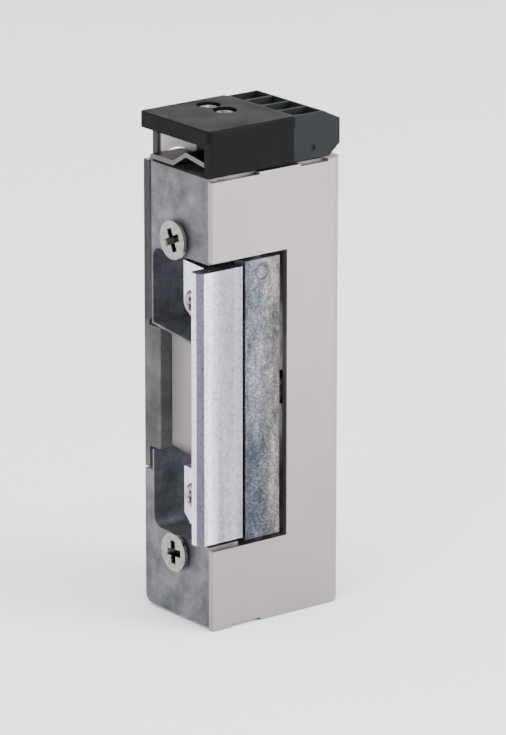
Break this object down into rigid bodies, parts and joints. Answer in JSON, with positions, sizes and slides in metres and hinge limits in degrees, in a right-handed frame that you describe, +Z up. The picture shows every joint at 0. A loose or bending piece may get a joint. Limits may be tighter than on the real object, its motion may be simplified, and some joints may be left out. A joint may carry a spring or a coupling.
{
  "type": "electric door strike",
  "caption": "Compact electric door strike with a swinging keeper, an adjustable keeper lip, a coil-released locking lever and a wire terminal block on a black cap.",
  "frame": {"origin": "midpoint between the two faceplate screws, on the housing face that the faceplate goes against", "axes": "+X runs away from the faceplate into the frame, -Y is the side the keeper swings out of, +Z is up towards the terminal block"},
  "size_m": [0.0253, 0.0162, 0.073],
  "materials": {
    "zinc_casting": "as-cast die-cast zinc, dull grey and mottled",
    "nickel_sheet": "nickel-plated sheet, fine satin, slightly warm",
    "bright_lip": "bright plated casting, smooth",
    "bright_screw": "bright zinc or nickel plating",
    "axle_steel": "ground steel",
    "spring_steel": "bright drawn spring wire",
    "leaf_steel": "bright cold-rolled strip",
    "soft_iron": "zinc-plated soft iron",
    "copper_winding": "enamelled copper wire",
    "coil_former": "natural nylon, matt",
    "cap_plastic": "black moulded plastic, finely textured",
    "terminal_plastic": "grey-green moulded plastic, finely textured",
    "carrier_plastic": "black moulded plastic",
    "contact_metal": "tinned brass"
  },
  "bodies": {
    "casing": {"housing": "zinc_casting", "latch_post": "zinc_casting", "cover_plate": "nickel_sheet", "cover_rivets": "bright_screw", "side_plate": "nickel_sheet", "rear_guide": "nickel_sheet", "faceplate_screws": "bright_screw", "leaf_strip": "leaf_steel", "keeper_axle": "axle_steel", "keeper_spring": "spring_steel", "lever_pin": "axle_steel", "armature_pin": "axle_steel", "armature_spring": "spring_steel", "coil_core": "soft_iron", "coil_bobbin": "coil_former", "coil_winding": "copper_winding", "yoke": "soft_iron", "coil_leads": "copper_winding", "top_cap": "cap_plastic", "cap_screws": "bright_screw", "contact_pins": "contact_metal", "contact_carrier": "carrier_plastic", "terminal_block": "terminal_plastic", "wire_clamps": "contact_metal", "terminal_screws": "bright_screw"},
    "keeper": {"keeper_body": "zinc_casting", "clamp_screws": "bright_screw", "clamp_washers": "bright_screw"},
    "lip": {"keeper_lip": "bright_lip"},
    "lever": {"locking_lever": "soft_iron"},
    "armature": {"armature": "soft_iron"}
  },
  "joints": [
    {"name": "keeper_swing", "type": "hinge", "parent": "casing", "child": "keeper", "pos_m": [0.0095, -0.005, 0], "axis": [0, 0, 1], "range_deg": [0, 45], "stiffness_Nm_per_rad": 0.02, "springref_deg": -28.65, "deforming": ["keeper_spring"]},
    {"name": "lip_adjust", "type": "slide", "parent": "keeper", "child": "lip", "axis": [0, 1, 0], "range_m": [0, 0.001]},
    {"name": "lever_swing", "type": "hinge", "parent": "casing", "child": "lever", "pos_m": [0.0188, -0.0036, 0], "axis": [0, 0, 1], "range_deg": [-27, 0]},
    {"name": "armature_pull", "type": "hinge", "parent": "casing", "child": "armature", "pos_m": [0.0209, 0, 0.0094], "axis": [0, 1, 0], "range_deg": [0, 3], "stiffness_Nm_per_rad": 0.002, "springref_deg": -5.73, "deforming": ["armature_spring"]}
  ],
  "couplings": [
    {"joint": "lever_swing", "follows": "keeper_swing", "ratio": -0.6}
  ]
}
